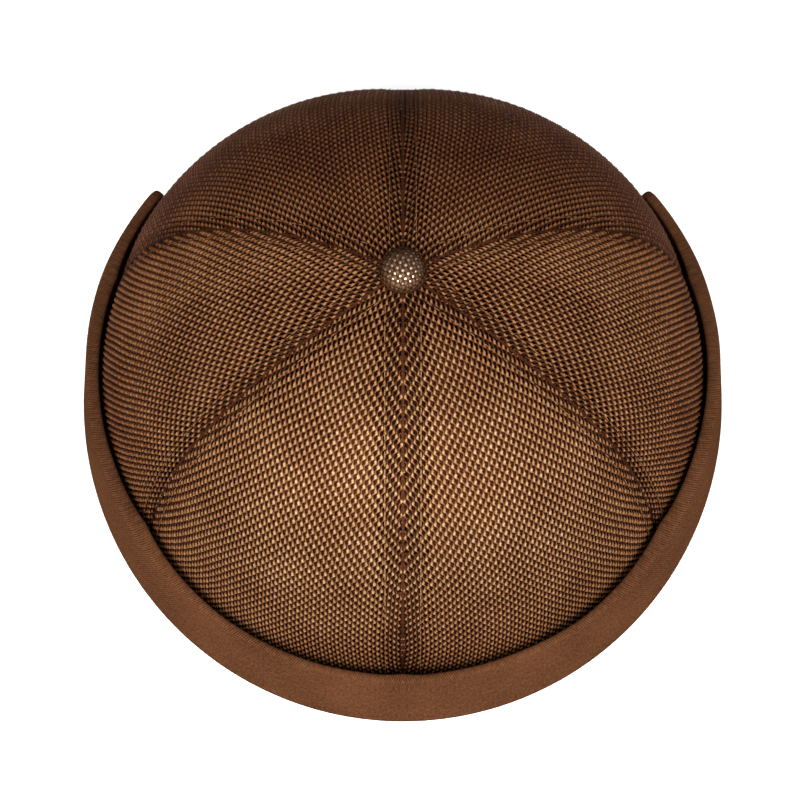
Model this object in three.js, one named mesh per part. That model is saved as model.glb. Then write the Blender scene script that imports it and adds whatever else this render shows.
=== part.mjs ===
// Docker cap: a round brimless cap of six open knit gores, with a plain cloth cuff turned
// up round its front and sides. Millimetres, +Z up, front towards -Y, standing on its rim.
import * as THREE from "three";
import { mergeVertices } from "three/addons/utils/BufferGeometryUtils.js";

const degree = Math.PI / 180;

// Crown. Its plan is two half ellipses that meet on the left-right axis, and its side is
// one Bezier curve from the apex (travel 0) to the rim (travel 1). Reach is the share of
// the rim's radius, and rise the share of the height, at the curve's two handles.
const halfWidth = 91.8;
const frontDepth = 98.1;
const backDepth = 88;
const crownHeight = 109.5;
const apexSetForward = 2.6;
const profileHandles = {
  upper: { reach: 0.554, rise: 0.952 },
  lower: { reach: 1.071, rise: 0.635 },
};
const goreBulge = 0.03; // how far a gore's middle swells out past its seams, as a share
const clothWall = 1.2;
const seamGap = 0.3;
const goreRows = 12; // from the strips' start down to the binding
const goreColumns = 10;
const shankHole = 1.9; // radius left open where the six tips meet
const goreFoot = 1.6; // height of the gores' cut edge above the ground

// The six seams, anticlockwise from the front as seen from above. Each swings a little
// from its angle at the apex to its angle at the rim. Strip is the full width of the
// doubled cloth behind it.
const seams = [
  { name: "front", apexAngle: -90, rimAngle: -90, strip: 12 },
  { name: "front_right", apexAngle: -31.53, rimAngle: -32.76, strip: 9 },
  { name: "rear_right", apexAngle: 28.29, rimAngle: 15.75, strip: 9 },
  { name: "back", apexAngle: 90, rimAngle: 90, strip: 9 },
  { name: "rear_left", apexAngle: 151.71, rimAngle: 164.25, strip: 9 },
  { name: "front_left", apexAngle: 211.53, rimAngle: 212.76, strip: 9 },
];
const goreNames = ["front_right", "side_right", "back_right", "back_left", "side_left", "front_left"];

// Strips of doubled cloth that lie under the seams, from the button to the rim binding.
const stripWall = 1;
const stripGap = 0.35;
const stripStart = 5.4; // distance from the apex at which the strips begin
const stripWedge = 28; // degrees either side of its seam that a strip may fill

// Rim binding: one folded strip of cloth, open upwards, that holds the gores' cut edge.
const binding = { height: 12, leaf: 1.2, floor: 1.3, clearance: 0.3 };

// Cuff: the outer face stands off the rim by baseOffset at the ground and topOffset at the
// fold. The foot is the thick turned edge that reaches in to the binding.
const cuff = {
  height: 33,
  baseOffset: 7.05,
  topOffset: 4.6,
  wall: 2.6,
  foldRadius: 1.3,
  hemRadius: 0.9,
  footOffset: 2.4,
  footHeight: 3,
  endAngle: 38.5, // degrees behind the left-right axis
  endCorner: 5,
  steps: 58,
  cornerSteps: 4,
};

// Button at the apex: a domed metal core with a riveted shank, under a knit cover. Heights
// are above the apex.
const button = {
  coverRadius: 7.25,
  coverTop: 5.6,
  coverWall: 1,
  clearance: 0.36,
  rimHeight: -0.55,
  shankRadius: 1.3,
  discRadius: 4,
  discTop: -2.1,
  discBottom: -2.9,
  sides: 24,
};

// The crown's curve at a share of its travel.
function profile(travel) {
  const back = 1 - travel;
  const { upper, lower } = profileHandles;
  const upperWeight = 3 * back * back * travel;
  const lowerWeight = 3 * back * travel * travel;
  return {
    reach: upperWeight * upper.reach + lowerWeight * lower.reach + travel ** 3,
    rise: back ** 3 + upperWeight * upper.rise + lowerWeight * lower.rise,
  };
}

// Travel at which the profile's reach or rise passes a value, by halving the span.
function travelWhere(isPast) {
  let low = 0;
  let high = 1;
  for (let round = 0; round < 40; round += 1) {
    const middle = (low + high) / 2;
    if (isPast(profile(middle))) {
      high = middle;
    } else {
      low = middle;
    }
  }
  return (low + high) / 2;
}

const travelAtHeight = (height) => travelWhere(({ rise }) => rise * crownHeight < height);
const travelAtRadius = (radius) => travelWhere(({ reach }) => reach * halfWidth > radius);

// A point of the crown before the gores swell.
function smoothPoint(travel, angle, swell = 1) {
  const { reach, rise } = profile(travel);
  const depth = Math.sin(angle) < 0 ? frontDepth : backDepth;
  return new THREE.Vector3(
    halfWidth * reach * swell * Math.cos(angle),
    depth * reach * swell * Math.sin(angle) - apexSetForward * rise * rise,
    crownHeight * rise,
  );
}

// The crown's outward direction, taken from its two tangents.
function crownNormal(travel, angle) {
  const step = 1e-4;
  const along = smoothPoint(Math.min(travel + step, 1), angle)
    .sub(smoothPoint(Math.max(travel - step, 0), angle));
  const around = smoothPoint(travel, angle + step).sub(smoothPoint(travel, angle - step));
  return along.cross(around).normalize();
}

const seamAngle = (index, travel) => {
  const turn = Math.floor(index / seams.length);
  const { apexAngle, rimAngle } = seams[index % seams.length];
  return (apexAngle + (rimAngle - apexAngle) * travel + 360 * turn) * degree;
};

// A point on a gore: across runs 0 to 1 between its two seams, and offset is the distance
// out of the cloth's outer face.
function gorePoint(gore, travel, across, offset) {
  const start = seamAngle(gore, travel);
  const angle = start + (seamAngle(gore + 1, travel) - start) * across;
  const crest = (4 * across * (1 - across)) ** 0.8 * Math.sin(Math.PI * travel) ** 0.7;
  return smoothPoint(travel, angle, 1 + goreBulge * crest)
    .addScaledVector(crownNormal(travel, angle), offset);
}

// The same point on the gore's flat facets, for a neighbour that lies against them.
function facetPoint(gore, travel, across, offset) {
  const column = Math.min(Math.floor(across * goreColumns), goreColumns - 1);
  const from = gorePoint(gore, travel, column / goreColumns, offset);
  const to = gorePoint(gore, travel, (column + 1) / goreColumns, offset);
  return from.lerp(to, across * goreColumns - column);
}

// Skins a row of sections into one closed solid. Each section is two rails of points, one
// on each side of the wall. An open row gets an end cap between its rails.
function wallSolid(sections, closed) {
  const railLength = sections[0].outside.length;
  const ringLength = 2 * railLength;
  const rings = sections.map(({ outside, inside }) => [...outside, ...[...inside].reverse()]);
  const positions = rings.flat().flatMap((point) => [point.x, point.y, point.z]);
  const indices = [];
  const quad = (a, b, c, d) => indices.push(a, b, c, a, c, d);
  const spans = closed ? rings.length : rings.length - 1;
  for (let row = 0; row < spans; row += 1) {
    const here = row * ringLength;
    const next = ((row + 1) % rings.length) * ringLength;
    for (let i = 0; i < ringLength; i += 1) {
      const j = (i + 1) % ringLength;
      quad(here + i, here + j, next + j, next + i);
    }
  }
  if (!closed) {
    const last = (rings.length - 1) * ringLength;
    for (let i = 0; i < railLength - 1; i += 1) {
      const mirror = ringLength - 1 - i;
      quad(i, mirror, mirror - 1, i + 1);
      quad(last + i, last + i + 1, last + mirror - 1, last + mirror);
    }
  }
  const geometry = new THREE.BufferGeometry();
  geometry.setAttribute("position", new THREE.Float32BufferAttribute(positions, 3));
  geometry.setIndex(indices);
  return facingOut(dropFlatTriangles(mergeVertices(geometry, 1e-4)));
}

// Removes triangles that two merged corners have closed up.
function dropFlatTriangles(geometry) {
  const corners = geometry.getIndex().array;
  const kept = [];
  for (let i = 0; i < corners.length; i += 3) {
    const [a, b, c] = corners.slice(i, i + 3);
    if (a !== b && b !== c && c !== a) {
      kept.push(a, b, c);
    }
  }
  geometry.setIndex(kept);
  return geometry;
}

// Turns every face over where the solid's signed volume is negative.
function facingOut(geometry) {
  const place = geometry.getAttribute("position");
  const corners = Array.from(geometry.getIndex().array);
  const corner = (i) => new THREE.Vector3().fromBufferAttribute(place, corners[i]);
  let volume = 0;
  for (let i = 0; i < corners.length; i += 3) {
    volume += corner(i).dot(corner(i + 1).cross(corner(i + 2)));
  }
  if (volume < 0) {
    for (let i = 0; i < corners.length; i += 3) {
      [corners[i + 1], corners[i + 2]] = [corners[i + 2], corners[i + 1]];
    }
    geometry.setIndex(corners);
  }
  geometry.computeVertexNormals();
  return geometry;
}

const knit = { color: 0x6b4630, roughness: 0.75, metalness: 0 };
const doubledKnit = { color: 0x5c3b27, roughness: 0.8, metalness: 0 };
const twill = { color: 0x74492f, roughness: 0.85, metalness: 0 };
const metal = { color: 0xd8d2c8, roughness: 0.25, metalness: 1 };

function piece(name, geometry, finish) {
  const mesh = new THREE.Mesh(geometry, new THREE.MeshStandardMaterial({ ...finish, flatShading: true }));
  mesh.name = name;
  return mesh;
}

const span = (count) => Array.from({ length: count + 1 }, (_, i) => i / count);

// Travels of the gores' rows. The strips and the binding use the same ones, so that the
// facets of all three run side by side.
const stripTravel = travelAtRadius(stripStart);
const bindingTravel = travelAtHeight(binding.height);
const foldTravel = travelAtHeight(binding.height / 2);
const floorTravel = travelAtHeight(binding.floor);
const rowTravels = [
  travelAtRadius(shankHole),
  ...span(goreRows).map((share) => stripTravel + (bindingTravel - stripTravel) * share),
  foldTravel,
  travelAtHeight(goreFoot),
];

// One gore, held half a seam gap back from both seams.
function goreGeometry(gore) {
  const rows = rowTravels.map((travel) => {
    const width = seamAngle(gore + 1, travel) - seamAngle(gore, travel);
    const margin = seamGap / 2 / (profile(travel).reach * backDepth * width);
    const across = span(goreColumns).map((share) => margin + (1 - 2 * margin) * share);
    return {
      outside: across.map((share) => gorePoint(gore, travel, share, 0)),
      inside: across.map((share) => gorePoint(gore, travel, share, -clothWall)),
    };
  });
  return wallSolid(rows, false);
}

// One strip of doubled cloth under a seam, narrowed near the apex to its share of the round.
function stripGeometry(index) {
  const endTravel = travelAtHeight(binding.height + 2 * binding.clearance);
  const travels = [
    ...rowTravels.filter((travel) => travel >= stripTravel && travel < endTravel),
    endTravel,
  ];
  const outer = -clothWall - stripGap;
  const rows = travels.map((travel) => {
    const radius = profile(travel).reach * backDepth;
    const half = Math.min(seams[index].strip / 2, radius * Math.sin(stripWedge * degree));
    const points = (offset) => {
      const left = (index + seams.length - 1) % seams.length;
      const widthLeft = seamAngle(left + 1, travel) - seamAngle(left, travel);
      const widthRight = seamAngle(index + 1, travel) - seamAngle(index, travel);
      return [
        facetPoint(left, travel, 1 - half / radius / widthLeft, offset),
        facetPoint(index, travel, 0, offset),
        facetPoint(index, travel, half / radius / widthRight, offset),
      ];
    };
    return { outside: points(outer), inside: points(outer - stripWall) };
  });
  return wallSolid(rows, false);
}

// The binding follows every gore's own columns, so its slot keeps one clearance to them.
function bindingGeometry() {
  const outerFace = binding.clearance + binding.leaf;
  const innerSlot = -clothWall - binding.clearance;
  const innerFace = innerSlot - binding.leaf;
  const at = (gore, share) => (travel, offset, height) => {
    const point = gorePoint(gore, travel, share, offset);
    return height === undefined ? point : point.setZ(height);
  };
  const sections = [];
  for (let gore = 0; gore < seams.length; gore += 1) {
    for (const share of span(goreColumns).slice(0, -1)) {
      const point = at(gore, share);
      sections.push({
        outside: [
          point(bindingTravel, outerFace, binding.height),
          point(foldTravel, outerFace),
          point(floorTravel, outerFace, 0),
          point(floorTravel, innerFace, 0),
          point(foldTravel, innerFace),
          point(bindingTravel, innerFace, binding.height),
        ],
        inside: [
          point(bindingTravel, binding.clearance, binding.height),
          point(foldTravel, binding.clearance),
          point(floorTravel, binding.clearance, binding.floor),
          point(floorTravel, innerSlot, binding.floor),
          point(foldTravel, innerSlot),
          point(bindingTravel, innerSlot, binding.height),
        ],
      });
    }
  }
  return wallSolid(sections, true);
}

// A point that stands off the rim's plan curve.
function planPoint(angle, offset, height) {
  const depth = Math.sin(angle) < 0 ? frontDepth : backDepth;
  return new THREE.Vector3(
    (halfWidth + offset) * Math.cos(angle),
    (depth + offset) * Math.sin(angle),
    height,
  );
}

// The cuff's wall at one angle, for a given height of its fold.
function cuffSection(angle, height) {
  const { baseOffset, topOffset, wall, foldRadius, hemRadius, footOffset, footHeight } = cuff;
  const lean = (z) => baseOffset + (topOffset - baseOffset) * (z / cuff.height);
  const foldStart = height - foldRadius;
  const middle = lean(height) - wall / 2;
  const diagonal = foldRadius * Math.SQRT1_2;
  const outside = [
    [baseOffset - hemRadius, 0],
    [baseOffset - hemRadius * (1 - Math.SQRT1_2), hemRadius * (1 - Math.SQRT1_2)],
    [lean(hemRadius), hemRadius],
    [lean(foldStart / 2), foldStart / 2],
    [lean(foldStart), foldStart],
    [middle + diagonal, foldStart + diagonal],
    [middle, height],
  ];
  const inside = [
    [footOffset, 0],
    [footOffset, footHeight],
    [lean(footHeight) - wall, footHeight + 0.3],
    [lean(foldStart / 2) - wall, foldStart / 2],
    [lean(foldStart) - wall, foldStart],
    [middle - diagonal, foldStart + diagonal],
    [middle, height],
  ];
  const place = ([offset, z]) => planPoint(angle, offset, z);
  return { outside: outside.map(place), inside: inside.map(place) };
}

// The cuff runs round the front from one rounded end to the other.
function cuffGeometry() {
  const reach = (halfWidth + backDepth) / 2 + cuff.topOffset;
  const cornerAngle = cuff.endCorner / reach;
  const firstAngle = -180 * degree - cuff.endAngle * degree;
  const lastAngle = cuff.endAngle * degree;
  const corner = span(cuff.cornerSteps).slice(0, -1).map((share) => {
    const sweep = share * 90 * degree;
    return {
      inset: cornerAngle * (1 - Math.cos(sweep)),
      height: cuff.height - cuff.endCorner * (1 - Math.sin(sweep)),
    };
  });
  const straightStart = firstAngle + cornerAngle;
  const straightEnd = lastAngle - cornerAngle;
  const sections = [
    ...corner.map(({ inset, height }) => cuffSection(firstAngle + inset, height)),
    ...span(cuff.steps).map((share) =>
      cuffSection(straightStart + (straightEnd - straightStart) * share, cuff.height)),
    ...corner.map(({ inset, height }) => cuffSection(lastAngle - inset, height)).reverse(),
  ];
  return wallSolid(sections, false);
}

// A quarter ellipse of lathe points from the rim up to the axis.
function domePoints(radius, low, top, steps) {
  return span(steps).map((share) => {
    const sweep = share * 90 * degree;
    const distance = share === 1 ? 0 : radius * Math.cos(sweep);
    return new THREE.Vector2(distance, low + (top - low) * Math.sin(sweep));
  });
}

function turned(points) {
  const geometry = new THREE.LatheGeometry(points, button.sides);
  geometry.deleteAttribute("normal");
  geometry.deleteAttribute("uv");
  const solid = facingOut(dropFlatTriangles(mergeVertices(geometry, 1e-4)));
  solid.rotateX(Math.PI / 2);
  solid.translate(0, -apexSetForward, crownHeight);
  return solid;
}

// Metal core: a disc below the cloth, the shank through it and the dome above it.
function coreGeometry() {
  const inset = button.coverWall + button.clearance;
  const radius = button.coverRadius - inset;
  const underside = button.rimHeight + inset;
  return turned([
    new THREE.Vector2(0, button.discBottom),
    new THREE.Vector2(button.discRadius, button.discBottom),
    new THREE.Vector2(button.discRadius, button.discTop),
    new THREE.Vector2(button.shankRadius, button.discTop),
    new THREE.Vector2(button.shankRadius, underside),
    ...domePoints(radius, underside, button.coverTop - inset, 6),
  ]);
}

// Knit cover: a dome of one wall, turned in under the core's edge.
function coverGeometry() {
  const inner = button.coverRadius - button.coverWall;
  const bed = button.rimHeight + button.coverWall;
  return turned([
    ...domePoints(inner, bed, button.coverTop - button.coverWall, 6).reverse(),
    new THREE.Vector2(inner - button.coverWall, bed),
    new THREE.Vector2(inner - button.coverWall, button.rimHeight + 0.2),
    new THREE.Vector2(button.coverRadius - 0.4, button.rimHeight),
    ...domePoints(button.coverRadius, button.rimHeight + 0.6, button.coverTop, 6),
  ]);
}

const cap = new THREE.Group();
goreNames.forEach((name, index) => {
  cap.add(piece(`crown_${name}`, goreGeometry(index), knit));
});
seams.forEach(({ name }, index) => {
  cap.add(piece(`seam_strip_${name}`, stripGeometry(index), doubledKnit));
});
cap.add(piece("rim_binding", bindingGeometry(), twill));
cap.add(piece("cuff", cuffGeometry(), twill));
cap.add(piece("button_core", coreGeometry(), metal));
cap.add(piece("button_cover", coverGeometry(), knit));

// The cap stands with the middle of its footprint over the origin.
const extent = new THREE.Box3().setFromObject(cap);
cap.position.y = -(extent.min.y + extent.max.y) / 2;

export default cap;
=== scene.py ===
# Docker cap: six gores of open mesh knit, a covered button and a turned-up twill cuff.
# Metres, +Z up, front towards -Y, standing on its rim.
import math

import bpy
import numpy as np
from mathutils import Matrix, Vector


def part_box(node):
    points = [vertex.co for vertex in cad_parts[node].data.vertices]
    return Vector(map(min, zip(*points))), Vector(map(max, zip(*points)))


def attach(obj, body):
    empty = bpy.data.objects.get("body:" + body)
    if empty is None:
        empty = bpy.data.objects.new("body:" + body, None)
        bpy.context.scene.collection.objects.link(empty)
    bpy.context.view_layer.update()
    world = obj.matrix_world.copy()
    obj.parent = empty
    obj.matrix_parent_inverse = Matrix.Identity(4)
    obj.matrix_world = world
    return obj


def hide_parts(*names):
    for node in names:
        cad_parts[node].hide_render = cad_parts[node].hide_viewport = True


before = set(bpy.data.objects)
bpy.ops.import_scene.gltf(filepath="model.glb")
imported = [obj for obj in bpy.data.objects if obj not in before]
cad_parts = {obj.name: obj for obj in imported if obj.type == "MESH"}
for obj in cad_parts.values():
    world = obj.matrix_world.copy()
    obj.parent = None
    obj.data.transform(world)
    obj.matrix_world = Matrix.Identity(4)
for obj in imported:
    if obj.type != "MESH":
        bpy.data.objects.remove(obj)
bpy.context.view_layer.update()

print("frame loaded:", len(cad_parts), "nodes")

mm = 0.001
degree = math.pi / 180


# Shader wiring

class Wire:
    # One socket of a node tree. Arithmetic on it adds Math nodes.
    def __init__(self, tree, socket=None):
        self.tree = tree
        self.socket = socket

    def node(self, kind, settings=None, sockets=None, output=0):
        made = self.tree.nodes.new(kind)
        for name, value in (settings or {}).items():
            if name == "stops":
                fillRamp(made.color_ramp, value)
            else:
                setattr(made, name, value)
        for name, value in (sockets or {}).items():
            self.feed(made.inputs[name], value)
        return Wire(self.tree, made.outputs[output])

    def feed(self, slot, value):
        if isinstance(value, Wire):
            self.tree.links.new(value.socket, slot)
        else:
            slot.default_value = value

    def maths(self, operation, *values):
        return self.node("ShaderNodeMath", {"operation": operation}, dict(enumerate(values)))

    def __add__(self, other):
        return self.maths("ADD", self, other)

    def __sub__(self, other):
        return self.maths("SUBTRACT", self, other)

    def __rsub__(self, other):
        return self.maths("SUBTRACT", other, self)

    def __mul__(self, other):
        return self.maths("MULTIPLY", self, other)

    __radd__ = __add__
    __rmul__ = __mul__

    def sine(self):
        return self.maths("SINE", self)

    def vectors(self, operation, *values):
        return self.node("ShaderNodeVectorMath", {"operation": operation}, dict(enumerate(values)))

    def scaled(self, share):
        return self.node("ShaderNodeVectorMath", {"operation": "SCALE"}, {0: self, "Scale": share})

    def between(self, low, high):  # 0 at low, 1 at high, held outside
        return self.node("ShaderNodeMapRange", {"interpolation_type": "SMOOTHSTEP"},
                         {"Value": self, "From Min": low, "From Max": high})

    def parts(self):
        split = self.node("ShaderNodeSeparateXYZ", {}, {0: self})
        return [Wire(self.tree, out) for out in split.socket.node.outputs]

    def noise(self, scale, detail=2.0, place=None):  # from 0 to 1, in the piece's own metres
        place = place or self.node("ShaderNodeTexCoord", output="Object")
        return self.node("ShaderNodeTexNoise", {}, {"Vector": place, "Scale": scale, "Detail": detail})

    def mix(self, first, second):  # colours, with this wire as the share of the second
        sockets = {0: self, 6: first, 7: second}
        return self.node("ShaderNodeMix", {"data_type": "RGBA"}, sockets, output=2)


def fillRamp(ramp, stops):
    while len(ramp.elements) < len(stops):
        ramp.elements.new(1.0)
    for element, (place, tone) in zip(ramp.elements, stops):
        element.position = place
        element.color = tone


def colour(hexText):
    # An sRGB colour as the linear one that a socket takes.
    parts = [int(hexText[i:i + 2], 16) / 255 for i in (0, 2, 4)]
    linear = [c / 12.92 if c <= 0.04045 else ((c + 0.055) / 1.055) ** 2.4 for c in parts]
    return (*linear, 1.0)


def newMaterial(name, fixed):
    # A Principled material with its constant sockets set, and a wire to hang nodes on.
    material = bpy.data.materials.new(name)
    material.use_nodes = True
    tree = material.node_tree
    shader = tree.nodes["Principled BSDF"]
    for socket, value in fixed.items():
        shader.inputs[socket].default_value = value
    return material, Wire(tree), shader


# Crown shape, as in the CAD model. The plan is two half ellipses and the side is one
# Bezier curve that travels from the apex (0) to the rim (1).

crownShape = {
    "halfWidth": 91.8 * mm,
    "frontDepth": 98.1 * mm,
    "backDepth": 88 * mm,
    "height": 109.5 * mm,
    "apexForward": 2.6 * mm,
    "upperReach": 0.554,
    "upperRise": 0.952,
    "lowerReach": 1.071,
    "lowerRise": 0.635,
    "bulge": 0.03,  # of each gore between its seams
    "bulgeAcross": 0.8,
    "bulgeAlong": 0.7,
    "foot": 1.6 * mm,
    "apexHole": 1.9 * mm,
    "wall": 1.2 * mm,
    "press": 1.3 * mm,  # how far the cuff draws the crown in
    "pressHeights": (13 * mm, 26 * mm),
    "releaseHeights": (46 * mm, 74 * mm),
}
cuffShape = {
    "height": 33 * mm,
    "baseOffset": 7.05 * mm,
    "topOffset": 4.6 * mm,
    "wall": 2.6 * mm,
    "footOffset": 2.4 * mm,
    "footHeight": 3 * mm,
    "endAngle": 38.5 * degree,
    "endCorner": 5 * mm,
    "edgeRound": 1.3 * mm,
    "crownGap": 1.1 * mm,
    "frontGap": 2.4 * mm,  # added to it in front, where the crown stands off the cuff
    "ripple": 0.12 * mm,
    "waver": 0.25 * mm,  # of the top fold's height
}

# name, angle at the apex, angle at the rim, half width of the doubled cloth behind it
seams = [
    ("front", -90, -90, 6 * mm),
    ("front_right", -31.53, -32.76, 4.5 * mm),
    ("rear_right", 28.29, 15.75, 4.5 * mm),
    ("back", 90, 90, 4.5 * mm),
    ("rear_left", 151.71, 164.25, 4.5 * mm),
    ("front_left", 211.53, 212.76, 4.5 * mm),
]
goreNames = ["front_right", "side_right", "back_right", "back_left", "side_left", "front_left"]

# The plan's own centre is the middle of the rim; the frame's is the middle of the footprint.
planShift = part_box("cuff")[0].y + crownShape["frontDepth"] + cuffShape["baseOffset"]


def profile(travel):
    back = 1 - travel
    upper = 3 * back * back * travel
    lower = 3 * back * travel * travel
    reach = upper * crownShape["upperReach"] + lower * crownShape["lowerReach"] + travel ** 3
    rise = back ** 3 + upper * crownShape["upperRise"] + lower * crownShape["lowerRise"]
    return reach, rise


def planDepth(angle):
    return np.where(np.sin(angle) < 0, crownShape["frontDepth"], crownShape["backDepth"])


def smoothPoint(travel, angle, swell=1.0):
    reach, rise = profile(travel)
    out = reach * swell
    x = crownShape["halfWidth"] * out * np.cos(angle)
    y = planDepth(angle) * out * np.sin(angle) - crownShape["apexForward"] * rise ** 2
    z = crownShape["height"] * rise + 0 * x
    return np.stack([x, y + planShift, z], -1)


def unit(vectors):
    return vectors / np.linalg.norm(vectors, axis=-1, keepdims=True)


def crownNormal(travel, angle):
    step = 1e-4
    later = np.minimum(travel + step, 1)
    earlier = np.maximum(travel - step, 0)
    along = smoothPoint(later, angle) - smoothPoint(earlier, angle)
    around = smoothPoint(travel, angle + step) - smoothPoint(travel, angle - step)
    return unit(np.cross(along, around))


def seamAngle(index, travel):
    turn, place = divmod(index, len(seams))
    apexAngle, rimAngle = seams[place][1:3]
    return (apexAngle + (rimAngle - apexAngle) * travel + 360 * turn) * degree


def ease(value, low, high):
    share = np.clip((value - low) / (high - low), 0, 1)
    return share * share * (3 - 2 * share)


def cuffPress(height, angle):
    # The snug cuff draws the crown in round its top fold, but not behind its two ends.
    rising = ease(height, *crownShape["pressHeights"])
    level = rising * (1 - ease(height, *crownShape["releaseHeights"]))
    return crownShape["press"] * level * (1 - ease(np.sin(angle), 0.05, 0.5))


def gorePlace(gore, travel, across, offset):
    # A point of a gore and the crown's normal there. Across is 0 to 1 between its seams.
    start = seamAngle(gore, travel)
    angle = start + (seamAngle(gore + 1, travel) - start) * across
    inner = np.clip(across, 0, 1)
    crest = (4 * inner * (1 - inner)) ** crownShape["bulgeAcross"]
    crest = crest * np.sin(np.pi * travel) ** crownShape["bulgeAlong"]
    normal = crownNormal(travel, angle)
    point = smoothPoint(travel, angle, 1 + crownShape["bulge"] * crest)
    out = np.asarray(offset) - cuffPress(point[..., 2], angle)
    return point + normal * out[..., None], normal


travelSteps = np.linspace(0, 1, 2001)
upperSteps = travelSteps[:1400]  # down to the crown's widest part


def travelAtHeight(height):
    return float(np.interp(-height / crownShape["height"], -profile(travelSteps)[1], travelSteps))


def travelAtRadius(radius):
    reach = profile(upperSteps)[0]
    return float(np.interp(radius / crownShape["halfWidth"], reach, upperSteps))


def lengthAlong(points):
    # Distances along a row of points.
    return np.concatenate([[0], np.cumsum(np.linalg.norm(np.diff(points, axis=0), axis=-1))])


def flatPattern(gore):
    # The gore's cut shape: for each travel, the distance up from the foot and the width.
    foot = travelAtHeight(crownShape["foot"])
    travel = np.linspace(foot, travelAtRadius(crownShape["apexHole"]), 500)
    across = np.linspace(0, 1, 17)
    points = gorePlace(gore, travel[:, None], across[None, :], 0.0)[0]
    width = np.linalg.norm(np.diff(points, axis=1), axis=-1).sum(1)
    return {"travel": travel, "along": lengthAlong(points[:, 8]), "width": width}


patterns = [flatPattern(gore) for gore in range(len(seams))]
print("gore patterns:", [f"{p['along'][-1] * 1000:.0f} x {p['width'][0] * 1000:.0f}" for p in patterns])


def goreLength(gore):
    return patterns[gore]["along"][-1]


def patternAt(gore, along, field):
    # The gore's travel or its width at distances up from its foot.
    return np.interp(along, patterns[gore]["along"], patterns[gore][field])


def goreSides(gore):
    # The seams at a gore's two sides: -1 is the lower angle's, and 1 the higher's.
    return (-1, seams[gore]), (1, seams[(gore + 1) % len(seams)])


# Meshes from arrays

def addPiece(name, points, faceGroups, material, marks=None):
    # One object from points and groups of faces. Marks are named vectors on the points.
    used = np.unique(np.concatenate([faces.ravel() for faces in faceGroups]))
    remap = np.full(len(points), -1)
    remap[used] = np.arange(len(used))
    corners = [remap[faces] for faces in faceGroups]
    loops = np.concatenate([faces.ravel() for faces in corners])
    sizes = np.concatenate([np.full(len(faces), faces.shape[1]) for faces in corners])
    starts = np.concatenate([[0], np.cumsum(sizes)[:-1]])
    mesh = bpy.data.meshes.new(name)
    mesh.vertices.add(len(used))
    mesh.vertices.foreach_set("co", points[used].astype(np.float32).ravel())
    mesh.loops.add(len(loops))
    mesh.loops.foreach_set("vertex_index", loops.astype(np.int32))
    mesh.polygons.add(len(sizes))
    mesh.polygons.foreach_set("loop_start", starts.astype(np.int32))
    mesh.polygons.foreach_set("use_smooth", np.ones(len(sizes), bool))
    mesh.update(calc_edges=True)
    for mark, values in (marks or {}).items():
        layer = mesh.attributes.new(mark, "FLOAT_VECTOR", "POINT")
        layer.data.foreach_set("vector", values[used].astype(np.float32).ravel())
    mesh.materials.append(material)
    piece = bpy.data.objects.new(name, mesh)
    bpy.context.scene.collection.objects.link(piece)
    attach(piece, "root")
    print(f"  {name}: {int((sizes - 2).sum())} triangles")
    return piece


def tubeFaces(inside, sides):
    # Quads along every unbroken stretch of rings, and a cap at each of its two ends.
    runs, rings = inside.shape
    index = np.arange(runs * rings * sides).reshape(runs, rings, sides)
    joined = inside[:, :-1] & inside[:, 1:]
    here = index[:, :-1][joined]
    there = index[:, 1:][joined]
    quads = [np.stack([here[:, j], here[:, (j + 1) % sides],
                       there[:, (j + 1) % sides], there[:, j]], 1) for j in range(sides)]
    before = np.pad(joined, ((0, 0), (1, 0)))
    after = np.pad(joined, ((0, 0), (0, 1)))
    caps = np.concatenate([index[after & ~before][:, ::-1], index[before & ~after]])
    return [np.concatenate(quads), caps]


def tubeRings(centre, normal, width, thickness, sides=4):
    # Rings round a row of centre points, wide in the surface and thin across it. The first
    # point of each ring is its outermost.
    direction = unit(np.gradient(centre, axis=-2))
    side = unit(np.cross(direction, normal))
    lift = np.cross(side, direction)
    rings = []
    for j in range(sides):
        turn = math.pi / 2 + 2 * math.pi * j / sides
        rings.append(centre + side * (width * math.cos(turn))[..., None]
                     + lift * (thickness * math.sin(turn))[..., None])
    return np.stack(rings, -2)


def joinParts(parts):
    # Several (points, face groups, marks) as one set.
    points = np.concatenate([part[0] for part in parts])
    marks = np.concatenate([part[2] for part in parts])
    groups = []
    base = 0
    for part in parts:
        groups += [faces + base for faces in part[1]]
        base += len(part[0])
    return points, groups, marks


# Knit: each wale is one strand that swings left and right up the cloth. It crosses its
# right-hand neighbour on top and its left-hand one underneath, with a slanting hole
# between. A straight yarn is laid in behind each column of holes, and passes behind the
# doubled cloth at the seams.

knit = {
    "pointsPerPeriod": 6,
    "swing": 0.38 * mm,
    "lean": 0.85,
    "halfWidth": 0.51 * mm,
    "halfThickness": 0.26 * mm,
    "knotSwell": 0.27,
    "crossing": 0.19 * mm,
    "knotSharpness": 2.4,
    "unevenKnots": 0.3,
    "centreDepth": 0.55 * mm,
    "unevenDepth": 0.02 * mm,
    "edgeMargin": 0.25 * mm,
    "drift": 0.06 * mm,
    "driftWaves": 5,
    "driftPitch": (20 * mm, 70 * mm),
    "seamTuck": 0.3 * mm,
    "seamTuckReach": 1.1 * mm,
    "stitchDip": 0.14 * mm,
    "stitchDipReach": 0.8 * mm,
    "bandThinner": 0.16,  # the doubled seams pull their wales thin, and their wales are painted darker, a painted shade
    "bandShade": 0.3,
    "steepLift": (0.3, 0.74),  # how far up steep cloth faces, and cloth that isn't steep
    "steepFront": (0.15, 0.6),  # how far forwards it may face: the front stays open
    "steepBack": 0.45,  # the back closes sooner than the sides
    "steepWider": 0.5,
    # painted shade where the cloth turns steep, and how much of it the back is spared
    "steepShade": 0.8,
    "steepBackLighter": 0.85,
    "steepKnot": 0.2,
    "steepEven": 0.85,
}
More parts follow.
